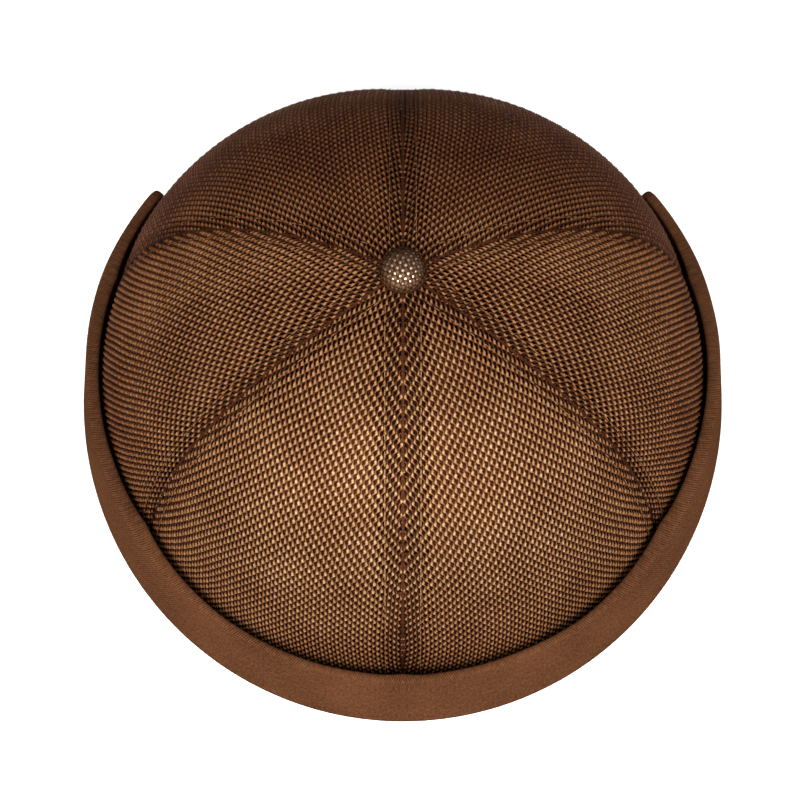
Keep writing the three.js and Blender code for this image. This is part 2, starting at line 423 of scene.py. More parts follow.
inlay = {
    "halfWidth": 0.74 * mm,
    "halfThickness": 0.12 * mm,
    "depth": 1.02 * mm,
    "bandDepth": 2.3 * mm,  # behind the doubled cloth
    "bandFade": 4 * mm,
    "shade": -3.2,  # its height for the colour, a painted shade: it lies in the shade of the wales
    "steepLighter": 0.5,
    "step": 5 * mm,
}

# Wale spacing, stitch period and turn of the grain in a left-hand gore, and how much longer
# its stitches are drawn at the rim. The right-hand gores are cut as their mirror image.
grains = {
    "front": {"spacing": 1.24 * mm, "period": 3.0 * mm, "turn": 7 * degree, "pull": 0.0},
    "side": {"spacing": 1.16 * mm, "period": 2.85 * mm, "turn": 6 * degree, "pull": 0.15},
    "back": {"spacing": 1.18 * mm, "period": 2.85 * mm, "turn": -24 * degree, "pull": 0.5},
}
seamStitch = {
    "inset": {"front": 5.4 * mm},  # distance from the seam to each row of stitches
    "usualInset": 3.9 * mm,
    "pitch": 2.6 * mm,
    "length": 2.2 * mm,
    "halfThickness": 0.16 * mm,
    "proud": 0.02 * mm,
    "startRadius": 9 * mm,
    "endHeight": 13 * mm,
}

# The seam itself: the gores' two folded edges, each a fine ridged roll, with the sewn line
# between them and a tape behind. Their shade values paint them dark, a painted shade in the furrow.
seamFold = {
    "inset": 0.27 * mm,
    "depth": 0.78 * mm,
    "steepRise": 0.68 * mm,  # how much of that depth it loses where the cloth is steep
    "halfThickness": 0.2 * mm,
    "ridge": 0.08 * mm,
    "ridgePitch": 1.5 * mm,
    "step": 0.5 * mm,
    "shade": -1.9,
}
seamLine = {"depth": 0.88 * mm, "halfWidth": 0.5 * mm, "shade": -1.3}
seamTape = {"depth": 2.6 * mm, "halfWidth": 1.6 * mm, "shade": inlay["shade"]}


def stitchInset(seamName):
    return seamStitch["inset"].get(seamName, seamStitch["usualInset"])


def goreGrain(gore):
    return grains[goreNames[gore].split("_")[0]]


def flatGrid(gore, step, between=0.0, shift=0.0):
    # The wales' columns, and the points along each of them.
    reach = goreLength(gore)
    wales = int(reach / goreGrain(gore)["spacing"])
    column = np.arange(-wales, wales + 1) + between
    run = np.arange(-0.5 * reach, 1.5 * reach, step)
    return column[:, None], run[None, :] + shift + 0 * column[:, None]


def stitchRun(grain, run):
    # The cloth is pulled down to its rim at the sides and the back, and the stitches are
    # drawn long there.
    steps = np.linspace(-0.1, 0.3, 400)
    rate = 1 / (1 + grain["pull"] * (1 - ease(steps, 15 * mm, 85 * mm)))
    drawn = np.concatenate([[0], np.cumsum(rate[:-1] * np.diff(steps))])
    return np.interp(run, steps, drawn)


def ontoGore(gore, grain, sideways, run):
    # From distances across and along the grain to distances across and along the gore.
    hand = 1 if goreNames[gore].endswith("left") else -1
    cos, sin = math.cos(grain["turn"]), math.sin(grain["turn"])
    along = sideways * sin + run * cos
    place = hand * (sideways * cos - run * sin)
    width = patternAt(gore, along, "width")
    travel = patternAt(gore, along, "travel")
    toEdge = width / 2 - np.abs(place)
    inside = (toEdge > knit["edgeMargin"]) & (along > 0) & (along < goreLength(gore))
    return travel, place, width, toEdge, inside


def cutBand(inside, travel, place, toEdge, band):
    # Keeps what lies along the seam at one side of the gore.
    near = (place * band["side"] > 0) & (toEdge < band["width"])
    return inside & near & (travel > band["start"]) & (travel < band["finish"])


def usedColumns(inside, *grids):
    keep = inside.any(1)
    span = np.nonzero(inside.any(0))[0]
    window = slice(span[0], span[-1] + 1)
    return [grid[keep][:, window] for grid in (inside, *grids)]


def knitStrands(gore, seed, band=None):
    random = np.random.default_rng(seed)
    shift = band["shift"] if band else 0.0
    grain = goreGrain(gore)
    column, run = flatGrid(gore, grain["period"] / knit["pointsPerPeriod"], shift=shift)
    phase = 2 * math.pi * stitchRun(grain, run) / grain["period"] + math.pi * column
    swing = np.sin(phase + knit["lean"] * np.sin(phase))
    loose = waleDrift(random, run, column * grain["spacing"])
    sideways = column * grain["spacing"] + shift + knit["swing"] * swing + loose
    travel, place, width, toEdge, inside = ontoGore(gore, grain, sideways, run)
    if band:
        inside = cutBand(inside, travel, place, toEdge, band)
    uneven = 1 + knit["unevenKnots"] * np.where(column % 2 == 0, 1, -1)
    bump = ((1 + np.sin(phase)) / 2) ** knit["knotSharpness"]
    knot = (2 * bump - 1) * np.where(bump > 0.5, uneven, 1)
    depth = band["depth"] if band else knit["centreDepth"]
    offset = -depth + knit["crossing"] * knot + random.normal(0, knit["unevenDepth"], column.shape)
    if not band:
        offset = offset - seamDips(gore, toEdge, place, travel, width)
    doubled = overDoubled(gore, toEdge, place)
    fields = usedColumns(inside, travel, place / width, offset, knot, run, doubled)
    inside, travel, across, offset, knot, run, doubled = fields
    centre, normal = gorePlace(gore, travel, 0.5 + across, offset)
    swell = 1 + knit["knotSwell"] * knot + knit["steepWider"] * steepness(normal)
    # Over the doubled cloth the wales are drawn thinner and painted darker, a painted shade.
    if not band:
        swell = swell - knit["bandThinner"] * doubled
        knot = knot - knit["bandShade"] * doubled
    rings = tubeRings(centre, normal, knit["halfWidth"] * swell, knit["halfThickness"] * swell, 3)
    return rings.reshape(-1, 3), tubeFaces(inside, 3), yarnMarks(rings, run, knot, normal)


def laidYarns(gore, seed):
    # The seed is the wales' own, so that the yarns drift as they do.
    grain = goreGrain(gore)
    column, run = flatGrid(gore, inlay["step"], between=0.5)
    across = column * grain["spacing"]
    sideways = across + waleDrift(np.random.default_rng(seed), run, across)
    travel, place, width, toEdge, inside = ontoGore(gore, grain, sideways, run)
    doubled = overDoubled(gore, toEdge, place, inlay["bandFade"])
    offset = -inlay["depth"] - (inlay["bandDepth"] - inlay["depth"]) * doubled
    inside, travel, across, offset, run = usedColumns(inside, travel, place / width, offset, run)
    centre, normal = gorePlace(gore, travel, 0.5 + across, offset)
    thick = inlay["halfThickness"] + 0 * run
    rings = tubeRings(centre, normal, inlay["halfWidth"] + 0 * run, thick, 3)
    # The laid yarn's painted shade is lighter where the cloth turns steep.
    shade = inlay["shade"] * (1 - inlay["steepLighter"] * steepness(normal))
    marks = yarnMarks(rings, run, shade, normal)
    return rings.reshape(-1, 3), tubeFaces(inside, 3), marks


def yarnMarks(rings, run, knot, normal):
    # For the material: height in the yarn (-1 to 1), millimetres along it, height of the knot less a
    # painted shade, and the way that the cloth faces. High yarn is painted lighter and low yarn darker,
    # a painted highlight and shade. Where the net lies closed it looks even.
    sides = rings.shape[-2]
    steep = steepness(normal)
    # Painted shade darkens the cloth where the crown turns steep, less of it at the back.
    lighter = knit["steepBackLighter"] * np.maximum(normal[..., 1], 0)
    shaded = knit["steepShade"] * steep * (1 - lighter)
    height = np.cos(np.arange(sides) * 2 * math.pi / sides)
    marks = np.zeros(rings.shape)
    marks[..., 0] = height * (1 - knit["steepEven"] * steep)[..., None]
    marks[..., 1] = (run / mm)[..., None]
    marks[..., 2] = (knot * (1 + knit["steepKnot"] * steep) - shaded)[..., None]
    facing = np.broadcast_to(normal[..., None, :], rings.shape)
    return np.concatenate([marks, facing], -1).reshape(-1, 6)


def yarnLayers(marks):
    return {"yarn": marks[:, :3], "facing": marks[:, 3:]}


def waleDrift(random, run, across):
    # Slow waves, alike in neighbouring wales, so that the net looks handled.
    drift = 0
    for _ in range(knit["driftWaves"]):
        pitchAlong, pitchAcross = random.uniform(*knit["driftPitch"], 2)
        turn, slant = random.uniform(0, 2 * math.pi, 2)
        wave = run / pitchAlong + across / pitchAcross * math.cos(slant)
        drift = drift + np.sin(2 * math.pi * wave + turn)
    return knit["drift"] * drift


def steepness(normal):
    # 1 where the sides and the back of the crown turn steep, and the net lies closed.
    lift = normal[..., 2] - knit["steepBack"] * np.maximum(normal[..., 1], 0)
    notFront = 1 - ease(-normal[..., 1], *knit["steepFront"])
    return (1 - ease(lift, *knit["steepLift"])) * notFront


def overDoubled(gore, toEdge, place, fade=1 * mm):
    # 1 where the doubled cloth of a seam lies behind, 0 elsewhere.
    share = 0
    for side, (_, _, _, halfWidth) in goreSides(gore):
        near = 1 - ease(toEdge, halfWidth - 0.2 * mm, halfWidth + fade)
        share = share + near * (place * side > 0)
    return share


def seamDips(gore, toEdge, place, travel, width):
    # The cloth rolls in at its seams and is drawn down under the rows of stitches. Where
    # it turns steep it is stretched taut and the furrow is shallow.
    across = place / width
    angle = seamAngle(gore, travel) * (0.5 - across) + seamAngle(gore + 1, travel) * (0.5 + across)
    taut = steepness(crownNormal(travel, angle))
    dip = knit["seamTuck"] * np.exp(-(toEdge / knit["seamTuckReach"]) ** 2) * (1 - 1.5 * taut)
    for side, (seamName, _, _, _) in goreSides(gore):
        near = np.exp(-((toEdge - stitchInset(seamName)) / knit["stitchDipReach"]) ** 2)
        dip = dip + knit["stitchDip"] * near * (place * side > 0)
    return dip


def seamRoll(gore, side, seed):
    # The folded edge of a gore. The seed sets where its ridges start.
    along = np.arange(0, goreLength(gore), seamFold["step"])
    travel = patternAt(gore, along, "travel")
    width = patternAt(gore, along, "width")
    inset = np.minimum(seamFold["inset"], 0.3 * width)
    ripple = np.sin(2 * math.pi * along / seamFold["ridgePitch"] + seed)
    ridge = seamFold["ridge"] * ripple
    across = 0.5 + side * (0.5 - (inset + 0.75 * ridge) / width)
    normal = gorePlace(gore, travel, across, 0 * travel)[1]
    depth = seamFold["depth"] - seamFold["steepRise"] * steepness(normal)
    centre, normal = gorePlace(gore, travel, across, ridge - depth)
    thick = seamFold["halfThickness"] + 0.5 * ridge
    rings = tubeRings(centre, normal, thick, thick * 1.15, 5)[None]
    faces = tubeFaces(np.ones((1, len(along)), bool), 5)
    marks = yarnMarks(rings, along[None], ripple[None] * 0.4 + seamFold["shade"], normal[None])
    return rings.reshape(-1, 3), faces, marks


def seamCord(index, cord):
    # A flat cord down a seam: the sewn line, or the tape behind it. It lies higher where
    # the cloth is steep.
    along = np.arange(1.5 * mm, goreLength(index), 2 * mm)
    travel = patternAt(index, along, "travel")
    still = 0 * travel
    normal = gorePlace(index, travel, still, still)[1]
    centre, normal = gorePlace(index, travel, still, 0.7 * mm * steepness(normal) - cord["depth"])
    rings = tubeRings(centre, normal, cord["halfWidth"] + still, 0.18 * mm + still, 3)[None]
    marks = yarnMarks(rings, along[None], cord["shade"] + 0 * along[None], normal[None])
    return rings.reshape(-1, 3), tubeFaces(np.ones((1, len(along)), bool), 3), marks


def knitMaterial(name, look):
    material, wire, shader = newMaterial(name, {
        "Specular IOR Level": look["specular"],
        "Specular Tint": colour(look["glint"]),
    })
    yarn = wire.node("ShaderNodeAttribute", {"attribute_name": "yarn"}, output="Vector")
    height, along, knot = yarn.parts()
    ply = (height * 5.0 + along * look["plyTurn"]).sine()
    fibre = wire.noise(1500.0, 3.0)
    patch = wire.noise(70.0)
    # Painted highlight and shade: high yarn and knots are painted lighter, flanks and deep yarn darker.
    raised = (height * 0.5 + knot * 0.5).between(look["deepAt"], look["highAt"])
    # Cloth facing the front lamps is painted lighter, a painted highlight, and is shinier and less
    # rough.
    facing = wire.node("ShaderNodeAttribute", {"attribute_name": "facing"}, output="Vector")
    _, backward, upward = facing.parts()
    frontLit = (upward * 0.6 - backward * 0.8).between(*look["frontLitFacing"]) * upward.between(0.2, 0.65)
    backShadeMask = backward.between(0.05, 0.55)
    sheen = frontLit * (look["sheen"] - look["dullSheen"]) + look["dullSheen"]
    wire.feed(shader.inputs["Metallic"], sheen)
    rough = frontLit * (look["roughness"] - look["dullRoughness"]) + look["dullRoughness"]
    wire.feed(shader.inputs["Roughness"], rough)
    # Cloth facing back or down is painted darker, a painted shade; facing back, with less contrast.
    under = 1 - upward.between(0.05, 0.5)
    contrast = frontLit * look["frontLitContrast"] + look["contrast"] - backShadeMask * look["backShadeContrast"]
    middle = frontLit * look["paintedFrontLight"] + look["light"]
    middle = middle - backShadeMask * look["paintedBackShade"] - under * look["paintedUnderShade"]
    grain = (fibre - 0.5) * 0.5 + (patch - 0.5) * 0.25 + ply * 0.06
    shade = (raised - 0.6) * contrast + middle + grain
    base = wire.node("ShaderNodeValToRGB", {"stops": look["stops"]}, {"Fac": shade})
    wire.feed(shader.inputs["Base Color"], base)
    # The yarn is pressed flat, so it faces nearer to the way the cloth does.
    yarnNormal = wire.node("ShaderNodeNewGeometry", output="Normal")
    pull = facing.scaled(look["pressed"])
    pressed = wire.vectors("NORMALIZE", wire.vectors("ADD", yarnNormal, pull))
    bump = wire.node("ShaderNodeBump", {}, {
        "Strength": 0.4,
        "Distance": 0.05 * mm,
        "Height": ply * 0.5 + fibre * 0.8,
        "Normal": pressed,
    })
    wire.feed(shader.inputs["Normal"], bump)
    return material


knitLook = {
    "stops": [(0.0, colour("110503")), (0.35, colour("432414")), (0.7, colour("735033")),
              (0.86, colour("866747")), (1.0, colour("9b8467"))],
    "glint": "b08868",
    "sheen": 0.44,
    "dullSheen": 0.12,
    "roughness": 0.5,
    "dullRoughness": 0.7,
    "specular": 0.03,
    "pressed": 2.0,
    "frontLitFacing": (0.68, 0.93),
    "contrast": 0.72,
    "frontLitContrast": 0.08,
    "backShadeContrast": 0.32,
    "light": 0.49,
    "paintedFrontLight": 0.15,
    "paintedBackShade": 0.115,  # painted shade at the back, and under the crown's widest part
    "paintedUnderShade": 0.09,
    "plyTurn": 6.0,
    "deepAt": -1.05,
    "highAt": 1.0,
}

knitCloth = knitMaterial("meshKnit", knitLook)
for gore, goreName in enumerate(goreNames):
    parts = [
        knitStrands(gore, 11 + gore), laidYarns(gore, 11 + gore),
        seamRoll(gore, -1, gore), seamRoll(gore, 1, gore + 0.5),
    ]
    points, faces, marks = joinParts(parts)
    piece = addPiece(f"knit_{goreName}", points, faces, knitCloth, yarnLayers(marks))
    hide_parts(f"crown_{goreName}")
print("gores knitted")


# Doubled cloth: each seam's allowances lie open under the two gores that meet there, with
# a tape behind them.

strip = {
    "depth": 1.62 * mm,
    "startRadius": 5.6 * mm,
    "endHeight": 13 * mm,
    "shift": 0.6 * mm,
}
# The doubled cloth is the gores' own knit, painted darker as a painted shade.
shadedStripLook = {
    **knitLook,
    "stops": [(0.0, colour("0a0502")), (0.4, colour("1f130b")), (0.7, colour("382416")),
              (1.0, colour("56392a"))],
}

shadedStripCloth = knitMaterial("doubledKnitShaded", shadedStripLook)
for index, (seamName, _, _, halfWidth) in enumerate(seams):
    left = (index - 1) % len(seams)
    band = {
        "depth": strip["depth"],
        "shift": strip["shift"],
        "width": halfWidth,
        "start": travelAtRadius(strip["startRadius"]),
        "finish": travelAtHeight(strip["endHeight"]),
    }
    parts = [
        knitStrands(left, 31 + index, {**band, "side": 1}),
        knitStrands(index, 41 + index, {**band, "side": -1}),
        seamCord(index, seamTape),
    ]
    points, faces, marks = joinParts(parts)
    piece = addPiece(f"doubled_{seamName}", points, faces, shadedStripCloth, yarnLayers(marks))
    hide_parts(f"seam_strip_{seamName}")
print("seam strips made")


# Twin rows of stitches, one either side of each seam, and the sewn line between them.

def stitchRow(gore, side, inset, startTravel, endTravel):
    pattern = patterns[gore]
    reached = pattern["along"][(pattern["travel"] > startTravel) & (pattern["travel"] < endTravel)]
    starts = np.arange(reached.min(), reached.max() - seamStitch["length"], seamStitch["pitch"])
    share = np.linspace(0, 1, 5)
    along = starts[:, None] + share[None, :] * seamStitch["length"]
    travel = patternAt(gore, along, "travel")
    width = patternAt(gore, along, "width")
    arch = np.sin(math.pi * share)[None, :] ** 0.5
    across = 0.5 + side * (0.5 - inset / width)
    offset = seamStitch["proud"] - 0.3 * mm * (1 - arch)
    centre, normal = gorePlace(gore, travel, across, offset)
    thick = seamStitch["halfThickness"] * (0.45 + 0.55 * arch) + 0 * along
    rings = tubeRings(centre, normal, thick, thick, 4)
    faces = tubeFaces(np.ones(along.shape, bool), 4)
    # The arch is the stitch's knot mark: painted lighter on top and darker where it sinks in, a painted
    # shade.
    return rings.reshape(-1, 3), faces, yarnMarks(rings, along, arch + 0 * along, normal)


threadLook = {**knitLook, "plyTurn": 14.0, "highAt": 1.5}
thread = knitMaterial("seamThread", threadLook)
reach = (travelAtRadius(seamStitch["startRadius"]), travelAtHeight(seamStitch["endHeight"]))
for index, (seamName, _, _, _) in enumerate(seams):
    left = (index - 1) % len(seams)
    inset = stitchInset(seamName)
    parts = [
        stitchRow(left, 1, inset, *reach),
        stitchRow(index, -1, inset, *reach),
        seamCord(index, seamLine),
    ]
    points, faces, marks = joinParts(parts)
    piece = addPiece(f"stitches_{seamName}", points, faces, thread, yarnLayers(marks))
print("seams stitched")


# Twill pieces: the cuff and the binding

def sweptFaces(stations, ring, closed):
    index = np.arange(stations * ring).reshape(stations, ring)
    here = index if closed else index[:-1]
    there = np.roll(index, -1, 0) if closed else index[1:]
    quads = [here, np.roll(here, -1, 1), np.roll(there, -1, 1), there]
    faces = np.stack([corner.ravel() for corner in quads], 1)
    if closed:
        return [faces]
    return [faces, index[:1, ::-1], index[-1:]]


def roundedSection(corners, radii, steps=5):
    # A closed outline in (offset, height) with its corners rounded off.
    outline = []
    count = len(corners)
    for i in range(count):
        before, corner, after = (np.array(corners[(i + k) % count]) for k in (-1, 0, 1))
        radius = radii[i]
        if radius == 0:
            outline.append(corner)
            continue
        entry = corner + unit(before - corner) * radius
        leave = corner + unit(after - corner) * radius
        for share in np.linspace(0, 1, steps):
            bend = (1 - share) ** 2 * entry + 2 * share * (1 - share) * corner + share ** 2 * leave
            outline.append(bend)
    return np.array(outline)


def subdivided(outline, longest):
    # Adds points to the outline's long sides.
    made = []
    for here, there in zip(outline, np.roll(outline, -1, 0)):
        count = max(1, int(np.ceil(np.linalg.norm(there - here) / longest)))
        made += [here + (there - here) * k / count for k in range(count)]
    return np.array(made)


def cuffFace(height):
    # Offset of the cuff's outer face from the rim's plan.
    lean = (cuffShape["topOffset"] - cuffShape["baseOffset"]) / cuffShape["height"]
    return cuffShape["baseOffset"] + lean * height


def cuffMiddle(height):
    return cuffFace(height) - cuffShape["wall"] / 2


def cuffOutline():
    shape = cuffShape
    top, foot, wall = shape["height"], shape["footHeight"], shape["wall"]
    corners = [
        (cuffFace(0), 0), (cuffFace(top), top),
        (cuffFace(top) - wall, top), (cuffFace(foot) - wall, foot + 0.3 * mm),
        (shape["footOffset"], foot), (shape["footOffset"], 0),
    ]
    radii = [1.2 * mm, 1.0 * mm, 1.45 * mm, 1.0 * mm, 0.8 * mm, 0]
    return subdivided(roundedSection(corners, radii), 1.7 * mm)


def cuffMesh():
    outline = cuffOutline()
    reach = (crownShape["halfWidth"] + crownShape["backDepth"]) / 2 + cuffShape["topOffset"]
    first = -math.pi - cuffShape["endAngle"]
    last = cuffShape["endAngle"]
    endZone = cuffShape["endCorner"] / reach
    easing = (1 - np.cos(np.linspace(0, math.pi / 2, 13))) * endZone
    plain = np.linspace(first + endZone, last - endZone, 301)
    angles = np.concatenate([first + easing[:-1], plain, last - easing[:-1][::-1]])
    fromEnd = np.minimum(angles - first, last - angles) * reach
    corner = np.clip(fromEnd / cuffShape["endCorner"], 0, 1)
    cornerDrop = cuffShape["endCorner"] * (1 - np.sqrt(1 - (1 - corner) ** 2))
    edgeRound = np.sqrt(1 - (1 - np.clip(fromEnd / cuffShape["edgeRound"], 0.02, 1)) ** 2)
    offset, height = outline[:, 0], outline[:, 1]
    share = np.clip(height / cuffShape["height"], 0, 1)
    inner = ease(cuffMiddle(height) - offset, -0.5 * mm, 1.0 * mm) * ease(share, 0.1, 0.6)
    gap = cuffShape["crownGap"] + cuffShape["frontGap"] * np.clip(-np.sin(angles), 0, 1) ** 3
    thicker = np.maximum(cuffShape["topOffset"] - cuffShape["wall"] - crownReach(angles) - gap, 0)
    offset = offset - thicker[:, None] * inner
    middle = cuffMiddle(height) - thicker[:, None] * ease(share, 0.1, 0.6) / 2
    offsets = middle + (offset - middle) * edgeRound[:, None]
    offsets = offsets + cuffRipple(angles[:, None], share[None, :])
    waver = cuffShape["waver"] * (np.sin(angles * 5 + 1)[:, None] - 1)
    heights = height - cornerDrop[:, None] * share ** 3 + waver * share ** 4
    x = (crownShape["halfWidth"] + offsets) * np.cos(angles)[:, None]
    y = (planDepth(angles)[:, None] + offsets) * np.sin(angles)[:, None] + planShift
    points = np.stack([x, y, heights], -1)
    marks = np.zeros(points.shape)
    fromFront = np.abs(angles + math.pi / 2)  # the weave is mirrored at the middle of the front
    marks[..., 0] = (fromFront * reach / mm)[:, None]
    marks[..., 1] = lengthAlong(outline) / mm
    marks[..., 2] = height / cuffShape["height"]
    return points.reshape(-1, 3), sweptFaces(len(angles), len(outline), False), marks.reshape(-1, 3)


def crownReach(angles):
    # How far the crown stands out from the rim's plan beside the cuff's top fold.
    travel = travelAtHeight(cuffShape["height"] - 2 * mm)
    across = np.linspace(0, 1, 30, endpoint=False)
    rows = [gorePlace(gore, travel, across, 0 * across)[0] for gore in range(len(seams))]
    points = np.concatenate(rows)
    x = points[:, 0]
    y = points[:, 1] - planShift
    depth = np.where(y < 0, crownShape["frontDepth"], crownShape["backDepth"])
    around = np.arctan2(y / depth, x / crownShape["halfWidth"])
    share = np.hypot(y / depth, x / crownShape["halfWidth"])
    radius = np.hypot(crownShape["halfWidth"] * np.cos(around), depth * np.sin(around))
    return np.interp(angles, around, (share - 1) * radius, period=2 * math.pi)


def cuffRipple(angle, share):
    # The band isn't board: it wavers a little, and most at its free edge.
    wave = np.sin(angle * 7 + 0.6) + 0.6 * np.sin(angle * 13 + 2.1) + 0.4 * np.sin(angle * 23)
    return cuffShape["ripple"] * wave * share * (1 - 0.3 * share)


twillLook = {
    "dark": "26150b",
    "light": "563622",
    # the lower fold's painted shade
    "fold": "100703",
    "ribPitch": 0.72,
    "ribSlope": 0.45,
    "foldFrom": 32.2,  # millimetres of girth over which the top fold spreads the ribs
    "foldTo": 34.9,
}


def twillMaterial(name, look):
    material, wire, shader = newMaterial(name, {
        "Roughness": 0.8,
        "Specular IOR Level": 0.0,
    })
    cloth = wire.node("ShaderNodeAttribute", {"attribute_name": "cloth"}, output="Vector")
    run, rise, level = cloth.parts()
    turn = 2 * math.pi / look["ribPitch"]
    rib = ((run + rise * look["ribSlope"]) * turn).sine()
    weft = ((rise - run * 0.2) * (turn * 1.3)).sine()
    slub = wire.noise(1.3, 3.0, cloth.vectors("MULTIPLY", cloth, (1.0, 0.4, 0.0)))
    patch = wire.noise(45.0)
    foldStart = rise.between(look["foldFrom"], look["foldFrom"] + 1)
    spread = foldStart * (1 - rise.between(look["foldTo"] - 1, look["foldTo"]))
    ribs = rib * (0.1 + spread * 0.2)
    shade = ribs + weft * 0.04 + (slub - 0.5) * 0.9 + (patch - 0.5) * 0.4
    base = (shade + 0.5).between(0.0, 1.0).mix(colour(look["dark"]), colour(look["light"]))
    hemShade = 1 - level.between(0.01, 0.05)  # the lower fold is painted dark, a painted shade
    wire.feed(shader.inputs["Base Color"], (hemShade * 0.85).mix(base, colour(look["fold"])))
    bump = wire.node("ShaderNodeBump", {}, {
        "Strength": 0.6,
        "Distance": 0.12 * mm,
        "Height": rib * 0.6 + weft * 0.2 + slub * 0.8,
    })
    wire.feed(shader.inputs["Normal"], bump)
    return material


twillCloth = twillMaterial("brownTwill", twillLook)
points, faces, marks = cuffMesh()
cuffPiece = addPiece("cuff_band", points, faces, twillCloth, {"cloth": marks})
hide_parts("cuff")
print("cuff made")

bindingShape = {
    "height": 12 * mm,
    "outerFace": 1.5 * mm,
    "leaf": 1.2 * mm,
    "clearance": 0.3 * mm,
    "floor": 1.3 * mm,
    "pucker": 0.08 * mm,
    "puckers": 14,  # to a gore
    "steps": 40,
}


def bindingMesh():
    shape = bindingShape
    slotOut = shape["clearance"]
    slotIn = -crownShape["wall"] - shape["clearance"]
    innerFace = slotIn - shape["leaf"]
    corners = [
        (shape["outerFace"], 0), (shape["outerFace"], shape["height"]),
        (slotOut, shape["height"]), (slotOut, shape["floor"]),
        (slotIn, shape["floor"]), (slotIn, shape["height"]),
        (innerFace, shape["height"]), (innerFace, 0),
    ]
    radii = [0.7 * mm, 0.58 * mm, 0.58 * mm, 0, 0, 0.58 * mm, 0.58 * mm, 0.7 * mm]
    outline = subdivided(roundedSection(corners, radii, 4), 2.4 * mm)
    across = np.arange(shape["steps"])[:, None] / shape["steps"]
    travel = np.array([travelAtHeight(z) for z in outline[:, 1]])[None, :]
    pucker = shape["pucker"] * np.sin(across * 2 * math.pi * shape["puckers"])
    pucker = pucker * np.sin(math.pi * outline[:, 1] / shape["height"])
    rows = []
    runs = []
    for gore in range(len(seams)):
        row = gorePlace(gore, travel + 0 * across, across + 0 * travel, outline[:, 0] + pucker)[0]
        row[..., 2] = outline[:, 1]
        rows.append(row)
        runs.append((gore + across[:, 0]) * patterns[gore]["width"][0])
    points = np.concatenate(rows)
    marks = np.zeros(points.shape)
    marks[..., 0] = (np.concatenate(runs) / mm)[:, None]
    marks[..., 1] = lengthAlong(outline) / mm
    marks[..., 2] = 0.5
    return points.reshape(-1, 3), sweptFaces(len(points), len(outline), True), marks.reshape(-1, 3)


points, faces, marks = bindingMesh()
bindingPiece = addPiece("binding_band", points, faces, twillCloth, {"cloth": marks})
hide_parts("rim_binding")
print("binding made")


# Button: a bright metal dome under a knit cover

button = {
    "radius": 7.25 * mm,
    "top": 5.6 * mm,
    "rim": -0.55 * mm,
    "wall": 1.0 * mm,
    "netPitch": 1.02 * mm,
    "netPeriod": 2.04 * mm,
    "netSway": 0.34 * mm,
    "netHalfWidth": 0.56 * mm,
    "netHalfThickness": 0.2 * mm,
    "netTurn": 18 * degree,
    "netInset": 0.5 * mm,
    "netCrossing": 0.12 * mm,
    "hemHalfThickness": 0.42 * mm,
    "gathers": 22,
    "stemRadius": 1.3 * mm,
    "discRadius": 4.0 * mm,
    "discLow": -2.9 * mm,
    "discHigh": -2.1 * mm,
    "discBevel": 0.1 * mm,
}
apex = Vector((0, planShift - crownShape["apexForward"], crownShape["height"]))


def latheMesh(outline, steps):
    # A turned solid from (radius, height) points that start and end on the axis.
    turns = np.arange(steps) * 2 * math.pi / steps
    inner = np.array(outline[1:-1])
    x = inner[None, :, 0] * np.cos(turns)[:, None]
    y = inner[None, :, 0] * np.sin(turns)[:, None]
    z = inner[None, :, 1] + 0 * x
    body = np.stack([x, y, z], -1).reshape(-1, 3)
    points = np.concatenate([body, [[0, 0, outline[0][1]], [0, 0, outline[-1][1]]]])
    count = len(inner)
    index = np.arange(steps * count).reshape(steps, count)
    there = np.roll(index, -1, 0)
    quads = np.stack([index[:, :-1].ravel(), there[:, :-1].ravel(),
                      there[:, 1:].ravel(), index[:, 1:].ravel()], 1)
    low = np.stack([np.full(steps, steps * count), there[:, 0], index[:, 0]], 1)
    high = np.stack([index[:, -1], there[:, -1], np.full(steps, steps * count + 1)], 1)
    return points + np.array(apex), [quads, low, high]


def buttonCore():
    inset = button["wall"] + 0.1 * mm
    radius = button["radius"] - inset
    low = button["rim"] + inset
    top = button["top"] - inset
    sweep = np.linspace(0, math.pi / 2, 20)[:-1]
    dome = [(radius * math.cos(a), low + (top - low) * math.sin(a)) for a in sweep]
    disc, bevel = button["discRadius"], button["discBevel"]
    under, over = button["discLow"], button["discHigh"]
    stem = [
        (0, under), (disc - bevel, under), (disc, under + bevel),
        (disc, over - bevel), (disc - bevel, over),
        (button["stemRadius"], over), (button["stemRadius"], low),
    ]
    return latheMesh(stem + dome + [(0, top)], 64)


metal, wire, shader = newMaterial("buttonMetal", {"Metallic": 0.7, "Roughness": 0.4})
scuff = wire.noise(700.0)
wire.feed(shader.inputs["Base Color"], scuff.between(0.3, 0.7).mix(colour("dccdba"), colour("eee0d0")))
points, faces = buttonCore()
corePiece = addPiece("button_dome", points, faces, metal)
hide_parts("button_core")


